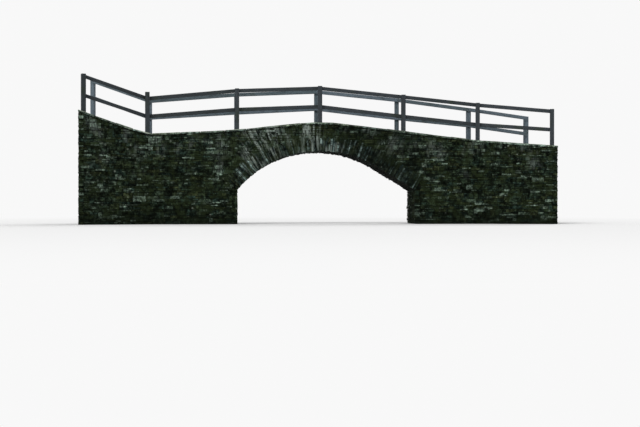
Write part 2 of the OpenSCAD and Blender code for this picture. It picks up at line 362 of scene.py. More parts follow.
def slate_material(name, dark, middle, light, moss_amount, lime_amount, hue=1.0, worn_edge=False):
    """Thin slate: a tone for each stone, mottling, lime that has run down, moss in patches and damp low down,
    with painted shade on faces turned down and over the right haunch, and where asked a painted highlight on
    tops.
    """
    s = Surface(name, roughness=0.9, specular=0.02)
    x, y, z = s.axes()
    patchy = s.noise(1.5, 3.0, 0.5)
    tone = s.plus(s.times(s.attribute("tone"), 0.75), s.times(patchy, 0.3))
    rusty = tinted(middle, hue, RUSTY_SHARES)
    bluish = tinted(middle, hue, BLUISH_SHARES)
    base = s.ramp(tone, [
        (0.08, dark), (0.22, middle), (0.32, rusty), (0.40, middle),
        (0.52, dark), (0.64, bluish), (0.76, middle), (0.92, light),
    ])
    mottle = s.noise(28.0, 6.0, 0.70)
    base = s.mix(0.9, base, s.ramp(mottle, [(0.28, grey(0.32)), (0.72, grey(1.75))]), "MULTIPLY")
    clouds = s.noise(9.5, 6.0, 0.72)
    clouds = s.ramp(clouds, [(0.38, grey(0.12)), (0.50, grey(0.72)), (0.64, grey(2.7))])
    base = s.mix(1.0, base, clouds, "MULTIPLY")

    above_centre = s.plus(z, RIGHT_RADIUS - CROWN_CLEAR)
    turn = s.times(s.maths("ARCTAN2", x, above_centre), RIGHT_RADIUS)
    fan = s.together(turn, y, s.times(above_centre, 0.10))
    past_arch = s.window(s.maths("ABSOLUTE", x), *PAST_ARCH)
    straight_down = s.stretched((1.0, 1.0, 0.30))
    runs = s.mix(past_arch, s.noise(13.0, 4.0, 0.6, fan), s.noise(6.0, 5.0, 0.7, straight_down))
    at_crown = s.near(x, LIMED_CROWN_X, 0.16, 0.44)
    at_haunch = s.near(x, LIMED_HAUNCH_X, 0.30, 0.80)
    run_zones = s.larger(at_crown, at_haunch)
    run_zones = s.larger(run_zones, s.times(s.window(patchy, 0.50, 0.64), 0.6))
    run_zones = s.times(run_zones, s.maths("SUBTRACT", 1.0, s.times(past_arch, 0.5)))
    limed = s.times(s.window(runs, 0.44, 0.62), run_zones)
    limed = s.times(limed, s.window(z, *LIMED_HEIGHTS))
    base = s.mix(s.times(limed, lime_amount), base, LIME)
    spots = s.window(s.plus(s.cells(6.5), s.times(mottle, 0.30)), 0.44, 0.26)
    lichen = s.times(spots, s.window(s.noise(2.6, 3.0, 0.6), 0.52, 0.66))
    base = s.mix(s.times(lichen, 0.5), base, LICHEN)

    growth = s.noise(3.3, 6.0, 0.62)
    from_centre = s.maths("SQRT", s.plus(s.maths("POWER", x, 2.0), s.maths("POWER", above_centre, 2.0)))
    seam_moss = s.near(from_centre, SEAM_RADIUS, 0.03, 0.24)
    pad = s.times(s.near(x, MOSS_PAD_X, 0.12, 0.42), s.near(z, MOSS_PAD_Z, 0.10, 0.34))
    pad = s.larger(s.times(pad, 0.16), s.times(seam_moss, 0.10))
    mossy = s.times(s.window(s.plus(growth, pad), 0.50, 0.60), moss_amount)
    ledges = s.times(s.window(s.facing_up(), 0.3, 0.85), s.window(growth, 0.38, 0.55))
    mossy = s.larger(mossy, s.times(ledges, 0.8))
    tufts = s.noise(60.0, 3.0, 0.6)
    base = s.mix(mossy, base, s.ramp(tufts, [(0.3, MOSS), (0.75, MOSS_LIGHT)]))
    # Painted highlight: sunlight on the slabs' tops, made pale from the worn value
    if worn_edge:
        worn = s.window(s.plus(s.attribute("worn"), s.times(mottle, 0.35)), 0.86, 1.06)
        base = s.mix(s.times(worn, 0.85), base, PAINTED_TOP_LIGHT)

    # Damp darkens the stones low down; painted shade darkens them in patches over the right haunch
    damp = s.window(s.plus(z, s.times(patchy, 0.6)), *DAMP_HEIGHTS)
    painted_shade = s.times(s.near(x, PAINTED_SHADE_X, 0.9, 1.6), s.window(s.noise(2.5, 4.0, 0.6), 0.26, 0.56))
    base = s.mix(s.larger(s.times(damp, 0.7), s.times(painted_shade, 0.55)), base, DAMP_AND_SHADE)
    # Painted shade: faces turned down, the soffit most of all, are made nearly black
    base = s.mix(s.times(s.window(s.facing_up(), -0.15, -0.65), 0.95), base, PAINTED_UNDERSIDE_SHADE)
    layers = s.noise(35.0, 7.0, 0.7, s.stretched((1.0, 1.0, 4.0)))
    bump = s.plus(layers, s.times(tufts, s.times(mossy, 0.8)))
    return s.finish(base, bump, 0.8, 0.014)


def joint_material():
    s = Surface("packed_earth_joint", roughness=0.95, specular=0.03)
    grain = s.noise(40.0, 5.0, 0.6)
    base = s.ramp(grain, [(0.25, srgb(15, 17, 13)), (0.55, srgb(26, 28, 21)), (0.8, srgb(44, 46, 36))])
    return s.finish(base, grain, 0.6, 0.01)


def rubble_material():
    s = Surface("earth_and_rubble", roughness=0.95, specular=0.1)
    stones = s.cells(9.0)
    grain = s.noise(30.0, 5.0, 0.6)
    base = s.ramp(grain, [(0.25, srgb(48, 41, 31)), (0.6, srgb(78, 68, 53)), (0.85, srgb(106, 98, 82))])
    return s.finish(base, s.plus(stones, grain), 0.8, 0.03)


def path_material():
    s = Surface("trodden_grit", roughness=0.95, specular=0.1)
    grit = s.cells(70.0)
    patches = s.noise(1.6, 5.0, 0.6)
    grain = s.noise(55.0, 4.0, 0.6)
    earth = s.ramp(grain, [(0.25, srgb(62, 58, 48)), (0.55, srgb(92, 87, 74)), (0.85, srgb(134, 129, 115))])
    green = s.ramp(grain, [(0.3, MOSS), (0.75, MOSS_LIGHT)])
    base = s.mix(s.window(patches, 0.52, 0.68), earth, green)
    return s.finish(base, s.plus(grit, grain), 0.7, 0.008)


def timber_material(name, dark, light, weather):
    """Stained softwood: grain along each piece, checks, and faded and green where rain lies."""
    s = Surface(name, roughness=0.75, specular=0.2)
    along = s.attribute("grain", "Vector")
    fibres = s.noise(9.0, 6.0, 0.65, s.stretched((0.5, 14.0, 14.0), along), 0.6)
    fine = s.noise(30.0, 4.0, 0.7, s.stretched((0.4, 22.0, 22.0), along))
    base = s.ramp(fibres, [(0.30, dark), (0.68, light)])
    base = s.mix(0.5, base, s.ramp(fine, [(0.3, grey(0.6)), (0.7, grey(1.35))]), "MULTIPLY")
    shade = s.ramp(s.attribute("tone"), [(0.0, (0.80, 0.82, 0.80, 1.0)), (1.0, (1.18, 1.16, 1.20, 1.0))])
    base = s.mix(1.0, base, shade, "MULTIPLY")
    blotches = s.noise(4.0, 5.0, 0.6)
    faded = s.times(s.window(blotches, 0.40, 0.68), s.window(s.facing_up(), 0.4, 0.9))
    base = s.mix(s.times(faded, weather), base, FADED)
    algae = s.times(s.window(s.noise(2.2, 4.0, 0.6), 0.52, 0.70), 0.45)
    base = s.mix(algae, base, ALGAE)
    checks = s.noise(3.0, 3.0, 0.5, s.stretched((0.35, 16.0, 16.0), along), 0.3)
    unchecked = s.window(s.maths("ABSOLUTE", s.maths("SUBTRACT", checks, 0.5)), 0.0, 0.02)
    base = s.mix(unchecked, CHECK, base)
    bump = s.plus(s.times(fibres, 0.6), s.times(unchecked, 0.5))
    return s.finish(base, bump, 0.5, 0.004)


def iron_material():
    s = Surface("rusty_bolt_head", roughness=0.6, specular=0.4)
    s.shader.inputs["Metallic"].default_value = 0.7
    rust = s.noise(180.0, 4.0, 0.6)
    return s.finish(s.ramp(rust, [(0.35, srgb(58, 56, 54)), (0.6, srgb(76, 50, 36))]), rust, 0.3, 0.001)


# The slates' tones are those of stone in deep backlit shade: partly the slate's own dark colour, partly
# painted shade over the whole ring and walls
RING_SLATE = slate_material("ring_slate", srgb(16, 21, 17), srgb(38, 48, 42), srgb(108, 126, 122), 0.45, 0.75)
WALL_SLATE = slate_material("wall_slate", srgb(15, 20, 14), srgb(35, 45, 34), srgb(94, 109, 97), 0.50, 0.75)
# Much paler than the slate of the walls: painted sunlight on the edge slabs, with a painted highlight along
# their tops
EDGE_SLATE = slate_material(
    "edge_slab_slate", srgb(62, 72, 64), srgb(96, 110, 98), srgb(142, 156, 142), 0.50, 0.5,
    hue=0.4, worn_edge=True,
)
JOINT = joint_material()
RUBBLE = rubble_material()
PATH = path_material()
# One timber in two copies: the front fence's darkened as painted shade, the rear fence's lightened as painted
# light on its inner face
TIMBER_SHADED_AND_LIT = {
    "front": timber_material("front_fence_timber_painted_shade", srgb(36, 40, 42), srgb(62, 69, 73), 0.45),
    "rear": timber_material("rear_fence_timber_painted_light", srgb(72, 82, 87), srgb(113, 128, 137), 0.50),
}
IRON = iron_material()


# Stones

COURSE_HEIGHT = 0.076
HIGHEST_BED = 3.36
BED_WANDER, BED_RIPPLE = 0.018, 0.009
BED_GAP = 0.006
UPRIGHT_GAPS = (0.003, 0.008)
STAGGER = 0.035
TOOTH = (0.025, 0.095)
QUOIN_GAP = 0.008
BREAK_REACH = 0.06

SHORT_STONE, LONG_STONE = 0.12, 0.40
LEAST_REST = 0.03
NARROWEST = 0.035
THINNEST = 0.018
STONE_DEPTH = 0.15
DEPTH_SPREAD = 0.03
TALL_SHARE = 0.13
TALL_FROM_END = 0.3
SPLIT_FROM = 0.060

FACE_BACK = 0.014
PROUD = (-0.016, 0.005)
TWIST = 0.006
LEAN = 0.016


def split_height(luck, low, high):
    """Levels of uneven courses from low up to high, which is the last of them."""
    shares = [luck.uniform(0.6, 1.45) for _ in range(round((high - low) / COURSE_HEIGHT))]
    levels = []
    for share in shares:
        low_before = levels[-1] if levels else low
        levels.append(low_before + (high - low) * share / sum(shares))
    return levels


bed_luck = random.Random(5)
LOWER_BEDS = split_height(bed_luck, 0.0, LEFT_SEAT.y)
UPPER_BEDS = split_height(bed_luck, RIGHT_SEAT.y, HIGHEST_BED)
BEDS = [0.0] + LOWER_BEDS + [RIGHT_SEAT.y] + UPPER_BEDS
RIGHT_SEAT_ROW = BEDS.index(RIGHT_SEAT.y)
LEFT_SEAT_ROW = RIGHT_SEAT_ROW - 1
ALL_ROWS = range(len(BEDS) - 1)


def bed_z(row, x, y):
    """Height of a bed joint. Beds run on from piece to piece, wander a little and start level at the foot."""
    if row == 0:
        return 0.0
    level = BEDS[row]
    wander = BED_WANDER * noise.noise(Vector((x * 1.1, y * 1.1, level * 6)))
    ripple = BED_RIPPLE * noise.noise(Vector((x * 3.7, y * 3.7, level * 9)))
    return level + wander + ripple


class Line:
    """The foot of a wall face in plan. The wall lies to the left of it."""

    def __init__(self, *points):
        self.points = [Vector(p) for p in points]
        self.marks = [0.0]
        for a, b in zip(self.points, self.points[1:]):
            self.marks.append(self.marks[-1] + (b - a).length)
        self.length = self.marks[-1]

    def place(self, u):
        """Plan point at length u, and the direction into the wall there."""
        i = min(max(bisect.bisect_right(self.marks, u) - 1, 0), len(self.points) - 2)
        along = (self.points[i + 1] - self.points[i]).normalized()
        return self.points[i] + (u - self.marks[i]) * along, Vector((-along.y, along.x))


def seam(name, sign):
    """Toothed joint between two pieces: how much each row stops short of it, or passes it where negative."""
    def short(row):
        luck = random.Random(f"{name} {row}")
        return sign * luck.uniform(*TOOTH) * (1 if row % 2 else -1)
    return short


def corner(turn):
    """Quoins: in every second row this face gives way to the stone that comes round the corner."""
    return lambda row: 0.0 if row % 2 == turn else STONE_DEPTH + QUOIN_GAP


def corner_of(v):
    return (v.co.x > 0, v.co.y > 0, v.co.z > 0)


ALONG, OUTWARD = 0, 2


class Masonry:
    """Collects the stones of one piece. Each starts as a cube whose eight corners are then set."""

    def __init__(self, name):
        self.name = name
        self.mesh = bmesh.new()
        self.luck = random.Random(name)
        self.long_edges = []

    def stone(self, corners, rough=0.006, longest=ALONG):
        """corners maps (along, inner, upper) to points. No stone passes the bridge's ends or its foot."""
        limit = END_X - FACE_BACK
        flags = {v: corner_of(v) for v in bmesh.ops.create_cube(self.mesh, size=1.0)["verts"]}
        for v, flag in flags.items():
            v.co = corners[flag] + Vector([self.luck.uniform(-rough, rough) for _ in range(3)])
            v.co.x = min(max(v.co.x, -limit), limit)
            v.co.z = max(v.co.z, rough)
        for v, flag in flags.items():
            if not flag[longest]:
                self.long_edges += [e for e in v.link_edges if flags[e.other_vert(v)][longest]]

    def lay(self, line, rows, low, high, start, end, breaks=None):
        """Lays rows of stones on a face between the heights low(x, y) and high(x, y).

        Here and there a stone is two rows tall. breaks gives the places where a row must have a joint.
        """
        filled, joints_below = [], []
        for row in rows:
            u, last = start(row), line.length - end(row)
            joints, rising = [], []
            for stop, resume in filled + [(last, last)]:
                while u < min(stop, last) - LEAST_REST:
                    v = self.next_joint(u, min(stop, last), joints_below)
                    for b in (breaks or {}).get(row, ()):
                        if u + 0.001 < b < v + BREAK_REACH:
                            v = b
                    edge = u == start(row) or v == last
                    room = row + 1 in rows and TALL_FROM_END < u and v < line.length - TALL_FROM_END
                    tall = room and self.luck.random() < TALL_SHARE
                    self.lay_stone(line, row, row + (2 if tall else 1), u, v, low, high, edge)
                    if tall:
                        rising.append((u, v))
                    joints.append(v)
                    u = v
                u = max(u, resume)
            filled, joints_below = rising, joints

    def next_joint(self, u, last, joints_below):
        """End of the next stone, away from the joints of the row below."""
        for _ in range(5):
            v = u + SHORT_STONE + (LONG_STONE - SHORT_STONE) * self.luck.random() ** 1.6
            if all(abs(v - j) > STAGGER for j in joints_below):
                break
        return last if last - v < SHORT_STONE * 0.8 else v

    def lay_stone(self, line, row, row_above, u, v, low, high, edge):
        """One stone from u to v, or two thin ones over each other. A sliver is cut back or left out."""
        luck = self.luck

        def span(at):
            (x, y), _ = line.place(at)
            bottom, top = bed_z(row, x, y), bed_z(row_above, x, y)
            return max(bottom, low(x, y)) + BED_GAP / 2, min(top, high(x, y)) - BED_GAP / 2

        tall_u, tall_v = (top - bottom for bottom, top in (span(u), span(v)))
        if max(tall_u, tall_v) < THINNEST * 1.3:
            return
        if min(tall_u, tall_v) < THINNEST:
            share = (max(tall_u, tall_v) - THINNEST) / (max(tall_u, tall_v) - min(tall_u, tall_v))
            if tall_u > tall_v:
                v = u + share * (v - u)
            else:
                u = v - share * (v - u)
            if v - u < NARROWEST:
                return
        gap = luck.uniform(*UPRIGHT_GAPS)
        spans = {False: span(u + gap), True: span(v - gap)}
        tall = min(top - bottom for bottom, top in spans.values())
        parts = [(0.0, 1.0)]
        if row_above == row + 1 and tall > SPLIT_FROM and luck.random() < 0.5:
            cut = luck.uniform(0.3, 0.7)
            parts = [(0.0, cut - 0.04), (cut + 0.04, 1.0)]
        for part_low, part_high in parts:
            proud = luck.uniform(*PROUD)
            twist = luck.uniform(-TWIST, TWIST)
            deep = STONE_DEPTH if edge else STONE_DEPTH + luck.uniform(-DEPTH_SPREAD, DEPTH_SPREAD)
            corners = {}
            for along, at in ((False, u + gap), (True, v - gap)):
                bottom, top = spans[along]
                top = max(top, bottom + THINNEST * 0.6)
                lean = 0.0 if edge else LEAN * noise.noise(Vector((round(at * 25), row * 1.7, 0.5)))
                for upper, share in ((False, part_low), (True, part_high)):
                    spot, inward = line.place(at + lean * (share - 0.5))
                    for inner in (False, True):
                        into = deep if inner else -proud + (twist if along else -twist)
                        q = spot + into * inward
                        corners[(along, inner, upper)] = Vector((q.x, q.y, bottom + share * (top - bottom)))
            self.stone(corners)

    def piece(self, material, bevel=0.007, ripple=0.003, core=None, inset=0.038, cuts=0, wave=0.005):
        """Makes long sides wavy, eases the arrises, roughens the faces and gives every stone its own tone."""
        bm = self.mesh
        bmesh.ops.recalc_face_normals(bm, faces=bm.faces)
        if cuts:
            bmesh.ops.subdivide_edges(bm, edges=bm.edges[:], cuts=cuts, use_grid_fill=True)
        else:
            middling = [e for e in self.long_edges if 0.10 < e.calc_length() <= 0.24]
            longest = [e for e in self.long_edges if e.calc_length() > 0.24]
            for few, edges in ((1, middling), (2, longest)):
                made = bmesh.ops.subdivide_edges(bm, edges=edges, cuts=few)["geom_inner"]
                for v in made:
                    if isinstance(v, bmesh.types.BMVert):
                        v.co += Vector([self.luck.uniform(-wave, wave) for _ in range(3)])
        sharp = [e for e in bm.edges if e.calc_face_angle(0.0) > math.radians(30)]
        ease(bm, sharp, bevel, 1)
        bm.normal_update()
        for v in bm.verts:
            v.co += v.normal * ripple * noise.noise(v.co * 9.0)
            v.co.z = max(v.co.z, 0.0)
        tone_islands(bm, self.luck)
        materials = [material]
        if core is not None:
            materials.append(JOINT)
            add_core(bm, core, inset)
        return to_object(bm, self.name, materials)


def ease(bm, edges, width, segments):
    """Takes the sharpness off edges."""
    bmesh.ops.bevel(
        bm, geom=edges, offset=width, offset_type="OFFSET", segments=segments, profile=0.5,
        affect="EDGES", clamp_overlap=True, material=-1,
    )


def cut_through(bm, place, direction):
    """Cuts a mesh along a plane without taking anything away."""
    everything = bm.verts[:] + bm.edges[:] + bm.faces[:]
    bmesh.ops.bisect_plane(bm, geom=everything, dist=0.0005, plane_co=place, plane_no=direction)


def to_object(bm, name, materials):
    """Turns a finished bmesh into an object of the scene."""
    data = bpy.data.meshes.new(name)
    bm.to_mesh(data)
    bm.free()
    for material in materials:
        data.materials.append(material)
    made = bpy.data.objects.new(name, data)
    bpy.context.collection.objects.link(made)
    return made


def tone_islands(bm, luck):
    """Gives each separate stone, timber or pebble one random tone."""
    tone = bm.verts.layers.float.new("tone")
    seen = set()
    for start in bm.verts:
        if start in seen:
            continue
        value = luck.random()
        seen.add(start)
        rim = [start]
        while rim:
            v = rim.pop()
            v[tone] = value
            for e in v.link_edges:
                other = e.other_vert(v)
                if other not in seen:
                    seen.add(other)
                    rim.append(other)


def merged_copy(node):
    """The CAD node's mesh as one clean bmesh, its loose triangles joined into flat faces."""
    bm = bmesh.new()
    bm.from_mesh(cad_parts[node].data)
    bmesh.ops.remove_doubles(bm, verts=bm.verts, dist=0.0001)
    bmesh.ops.dissolve_limit(
        bm, angle_limit=math.radians(0.5), use_dissolve_boundaries=False, verts=bm.verts, edges=bm.edges,
    )
    return bm


def in_socket(place):
    """Whether a corner of a wall belongs to the socket of a post."""
    return any(
        abs(place.x - x) < POST_SIDE and abs(abs(place.y) - line_y(x, FENCE_Y)) < POST_SIDE * 0.75
        for x in POSTS_X
    )


def drawn_in(v):
    """Direction that draws a corner of a solid back from the open.

    The open is before its wall face, past the end of the bridge and under the arch.
    """
    shift = Vector()
    for seen in (
        lambda f, c: abs(c.y) > MASONRY_HALF - 0.01 and f.normal.y * c.y > 0.5 * abs(c.y),
        lambda f, c: abs(c.x) > END_X - 0.01,
        lambda f, c: under_arch(c + f.normal * 0.02),
    ):
        normals = [f.normal for f in v.link_faces if seen(f, f.calc_center_median())]
        if normals:
            shift -= sum(normals, Vector()).normalized()
    return shift


def add_core(bm, node, inset):
    """Adds the joint filling: the CAD solid, drawn in a little behind the faces of the stones."""
    core = merged_copy(node)
    sockets = [v for v in core.verts if in_socket(v.co)]
    if sockets:
        bmesh.ops.delete(core, geom=sockets, context="VERTS")
        bmesh.ops.holes_fill(core, edges=core.edges[:], sides=0)
        bmesh.ops.recalc_face_normals(core, faces=core.faces)
    core.normal_update()
    for v, shift in [(v, drawn_in(v)) for v in core.verts]:
        v.co += shift * inset
    for f in core.faces:
        f.material_index = 1
    carrier = bpy.data.meshes.new("core")
    core.to_mesh(carrier)
    core.free()
    bm.from_mesh(carrier)
    bpy.data.meshes.remove(carrier)


def settle(piece, node):
    """Puts a finished piece in the place of its CAD node."""
    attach(piece, "root")
    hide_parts(node)


def wall_foot(x, y):
    return 0.0


def under_edge_slabs(x, y):
    return deck_z(x) - COPING_THICKNESS


# Arch ring

SLATE_WIDTHS = (0.026, 0.032, 0.038, 0.046, 0.056, 0.072)
SLATE_LENGTHS = (0.26, 0.55)
SHORTEST_SLATE = 0.2
BROKEN_SHARE = 0.35
SLATE_GAPS = (0.002, 0.006)
SLATE_LEAN = 0.010
SLATE_HANG = (-0.006, 0.024)
RAGGED_FACE = (-0.010, 0.016)
RAGGED_BACK = 0.07
END_GAP = 0.003
RING_INSET = 0.022


def build_ring():
    """Thin slates on edge from springing to springing, each course of several lengths across the bridge."""
    m = Masonry("ring_slates")
    luck = m.luck
    joints = [0.0]
    while joints[-1] < SOFFIT_LENGTH:
        joints.append(joints[-1] + luck.choice(SLATE_WIDTHS) * luck.uniform(0.9, 1.1))
    joints[-1] = SOFFIT_LENGTH
    leans = [0.0] + [luck.uniform(-SLATE_LEAN, SLATE_LEAN) for _ in joints[2:]] + [0.0]
    courses = list(zip(joints, leans))
    for (s0, lean0), (s1, lean1) in zip(courses, courses[1:]):
        gap = min(luck.uniform(*SLATE_GAPS), (s1 - s0) / 6)
        y = -MASONRY_HALF
        while y < MASONRY_HALF - 0.01:
            length = luck.uniform(*SLATE_LENGTHS)
            if MASONRY_HALF - y - length < SHORTEST_SLATE:
                length = MASONRY_HALF - y
            end = y + length
            outer_face = y == -MASONRY_HALF or end >= MASONRY_HALF
            y0 = y - luck.uniform(*RAGGED_FACE) if y == -MASONRY_HALF else y + END_GAP
            y1 = end + luck.uniform(*RAGGED_FACE) if end >= MASONRY_HALF else end - END_GAP
            tail = RING_DEPTH + (luck.uniform(-RAGGED_BACK, RAGGED_BACK) if outer_face else -0.01)
            hang = luck.uniform(*SLATE_HANG)
            parts = [(hang, tail)]
            if outer_face and luck.random() < BROKEN_SHARE:
                cut = luck.uniform(0.3, 0.75) * tail
                parts = [(hang, cut - END_GAP), (cut + END_GAP, tail)]
            for inner_depth, outer_depth in parts:
                corners = {}
                for side, s, lean, ease_in in ((False, s0, lean0, gap), (True, s1, lean1, -gap)):
                    foot, out = soffit(s + ease_in)
                    head, head_out = soffit(min(max(s + ease_in + lean, 0.0), SOFFIT_LENGTH))
                    for outer, depth in ((False, inner_depth), (True, outer_depth)):
                        share = min(max(depth / RING_DEPTH, 0.0), 1.0)
                        q = (foot + depth * out).lerp(head + depth * head_out, share)
                        for across, y_at in ((False, y0), (True, y1)):
                            corners[(side, across, outer)] = Vector((q.x, y_at, q.y))
                m.stone(corners, rough=0.002, longest=OUTWARD)
            y = end
    return m.piece(RING_SLATE, bevel=0.004, core="arch_barrel", inset=RING_INSET, wave=0.0035)


settle(build_ring(), "arch_barrel")


# Spandrel walls and abutments

RING_LAP = 0.09
SEAT_LAP = 0.08
SPANDREL_BACK = 0.006


def above_ring(x, y):
    """Where the spandrel stones start. Over the ring they reach down behind its ragged back."""
    if x < LEFT_SEAT.x:
        return bed_z(LEFT_SEAT_ROW, x, y)
    if x > RIGHT_SEAT.x:
        return bed_z(RIGHT_SEAT_ROW, x, y)
    return curve_z(x, RING_DEPTH) - RING_LAP


def build_spandrel(side_name):
    """One wall over the arch, with joints where the seats of the ring meet it."""
    side = SIDES[side_name]
    m = Masonry(side_name + "_spandrel_slates")
    y = side * (MASONRY_HALF - SPANDREL_BACK)
    left, right = seam(side_name + " left", 1), seam(side_name + " right", 1)
    rows = range(LEFT_SEAT_ROW, len(BEDS) - 1)
    if side == FRONT:
        breaks = {LEFT_SEAT_ROW: [LEFT_SEAT.x - LEFT_BACK], RIGHT_SEAT_ROW: [RIGHT_SEAT.x - LEFT_BACK]}
        m.lay(Line((LEFT_BACK, y), (RIGHT_BACK, y)), rows, above_ring, under_edge_slabs, left, right, breaks)
    else:
        breaks = {RIGHT_SEAT_ROW: [RIGHT_BACK - RIGHT_SEAT.x], LEFT_SEAT_ROW: [RIGHT_BACK - LEFT_SEAT.x]}
        m.lay(Line((RIGHT_BACK, y), (LEFT_BACK, y)), rows, above_ring, under_edge_slabs, right, left, breaks)
    return m.piece(WALL_SLATE, core=side_name + "_spandrel_wall")


def build_abutment(end_name):
    """Front, inner and rear faces, with quoins at both corners."""
    m = Masonry(end_name + "_abutment_slates")
    left = end_name == "left"
    if left:
        spring, seat, back, rows = LEFT_SPRING, LEFT_SEAT, LEFT_BACK, range(LEFT_SEAT_ROW)
    else:
        spring, seat, back, rows = RIGHT_SPRING, RIGHT_SEAT, RIGHT_BACK, range(RIGHT_SEAT_ROW)

    def seat_slope(x, y):
        if abs(x) > abs(seat.x):
            return 2 * seat.y
        return spring.y + (seat.y - spring.y) * (x - spring.x) / (seat.x - spring.x) + SEAT_LAP

    half = MASONRY_HALF
    points = [(back, -half), (spring.x, -half), (spring.x, half), (back, half)]
    teeth = [seam(f"front {end_name}", 1), seam(f"rear {end_name}", 1)]
    if not left:
        points, teeth = points[::-1], teeth[::-1]
    first, inner_face, last = (Line(a, b) for a, b in zip(points, points[1:]))
    m.lay(first, rows, wall_foot, seat_slope, teeth[0], corner(0), {rows[-1]: [abs(back - seat.x)]})
    m.lay(inner_face, rows, wall_foot, lambda x, y: SPRING_Z, corner(1), corner(0))
    m.lay(last, rows, wall_foot, seat_slope, corner(1), teeth[1], {rows[-1]: [abs(seat.x - spring.x)]})
    return m.piece(WALL_SLATE, core=end_name + "_abutment")


for side_name in SIDES:
    settle(build_spandrel(side_name), side_name + "_spandrel_wall")
for end_name in ENDS:
    settle(build_abutment(end_name), end_name + "_abutment")


# Wing walls and the ends of the approaches

FILL_TOOTH = 0.4


def build_wing(side_name, end_name):
    """One wing wall: its long face with the bend in it, and its closing end."""
    m = Masonry(f"{side_name}_{end_name}_wing_slates")
    side, end = SIDES[side_name], ENDS[end_name]
    back = LEFT_BACK if end < 0 else RIGHT_BACK
    bend = bend_x(end, MASONRY_HALF)
    far_x = end * (END_X - FACE_BACK)
    far_y = line_y(far_x, MASONRY_HALF)
    face = [(back, side * MASONRY_HALF), (bend, side * MASONRY_HALF), (far_x, side * far_y)]
    closing = [(far_x, side * far_y), (far_x, side * (far_y - WALL_THICKNESS))]
    teeth = seam(f"{side_name} {end_name}", -1)
    fill_teeth = seam(f"{side_name} {end_name} fill", FILL_TOOTH)
    if side * end < 0:
        m.lay(Line(*face), ALL_ROWS, wall_foot, under_edge_slabs, teeth, corner(0))
        m.lay(Line(*closing), ALL_ROWS, wall_foot, under_edge_slabs, corner(1), fill_teeth)
    else:
        m.lay(Line(*closing[::-1]), ALL_ROWS, wall_foot, under_edge_slabs, fill_teeth, corner(0))
        m.lay(Line(*face[::-1]), ALL_ROWS, wall_foot, under_edge_slabs, corner(1), teeth)
    return m.piece(WALL_SLATE, core=f"{side_name}_{end_name}_wing_wall")


def build_approach_end(end_name):
    """The fill of an approach, faced with stone where it ends between the wing walls."""
    m = Masonry(end_name + "_approach_rubble")
    end = ENDS[end_name]
    far_x = end * (END_X - FACE_BACK)
    half = line_y(far_x, MASONRY_HALF) - WALL_THICKNESS
    line = Line((far_x, -end * half), (far_x, end * half))
    sides = ("front", "rear") if end > 0 else ("rear", "front")
    start, stop = (seam(f"{name} {end_name} fill", -FILL_TOOTH) for name in sides)
    m.lay(line, ALL_ROWS, wall_foot, under_edge_slabs, start, stop)
    return m.piece(WALL_SLATE, core=end_name + "_approach_fill")


for end_name in ENDS:
    for side_name in SIDES:
        settle(build_wing(side_name, end_name), f"{side_name}_{end_name}_wing_wall")
    settle(build_approach_end(end_name), end_name + "_approach_fill")


# Edge slabs

SLAB_LENGTHS = (0.38, 0.85)
SHORTEST_SLAB = 0.3
SLAB_GAP = 0.004
SLAB_LIFT = 0.002
TOP_LIGHT_FADE = 0.10
EDGE_RUNS = {"left": (-END_X, LEFT_BACK), "crown": (LEFT_BACK, RIGHT_BACK), "right": (RIGHT_BACK, END_X)}


def build_edge(side_name, run_name, x0, x1):
    """Slabs along one edge of the walkway, each on its slope, with a painted highlight that makes its top
    pale, most along its outer arris.
    """
    side = SIDES[side_name]
    m = Masonry(f"{side_name}_{run_name}_edge_slabs")
    luck = m.luck
    x = x0
    while x < x1 - 0.01:
        length = luck.uniform(*SLAB_LENGTHS)
        if x1 - x - length < SHORTEST_SLAB:
            length = x1 - x
        outer_in = luck.uniform(0.0, 0.028)
        inner_in = luck.uniform(-0.012, 0.015)
        drop = luck.uniform(0.0, 0.013)
        corners = {}
        for along, x_at in ((False, x + SLAB_GAP), (True, x + length - SLAB_GAP)):
            top = deck_z(x_at)
            for inner, y_at in ((False, COPING_OUTER - outer_in), (True, COPING_INNER + inner_in)):
                y = side * line_y(x_at, y_at)
                corners[(along, inner, True)] = Vector((x_at, y, top - drop))
                corners[(along, inner, False)] = Vector((x_at, y, top - COPING_THICKNESS + SLAB_LIFT))
        m.stone(corners, rough=0.003)
        x += length
    slabs = m.piece(EDGE_SLATE, bevel=0.009, ripple=0.006, cuts=3)
    # The worn value marks a painted highlight: highest on the slab's top at its outer arris, less inward,
    # none at the underside
    worn = slabs.data.attributes.new("worn", "FLOAT", "POINT")
    for place, vertex in zip(worn.data, slabs.data.vertices):
        x, y, z = vertex.co
        down = (deck_z(x) - z) / COPING_THICKNESS
        inward = min(max((line_y(x, COPING_OUTER) - abs(y)) / TOP_LIGHT_FADE, 0.0), 1.0)
        place.value = (1 - down) * (1 - 0.35 * inward)
    return slabs


for side_name in SIDES:
    for run_name, (x0, x1) in EDGE_RUNS.items():
        settle(build_edge(side_name, run_name, x0, x1), f"{side_name}_{run_name}_coping")


# Timber

ARRIS = 0.006
HOLLOWS = 0.0016
CUTS_ALONG = 12
NAIL_RADIUS = 0.008
NAIL_HEIGHT = 0.004
NAIL_FROM_END = 0.032
NAIL_SHARES = (0.28, 0.72)
RAIL_INNER = FENCE_Y - POST_SIDE / 2 - RAIL_THICKNESS
SLOPE_STEP = 0.004


def timber_frame(a, b):
    """Axes of a straight timber that runs from a to b: along it, and two across it."""
    along = (b - a).normalized()
    if abs(along.z) > 0.9:
        across = along.orthogonal().normalized()
    else:
        across = Vector((-along.y, along.x, 0)).normalized()
    return along, across, along.cross(across)


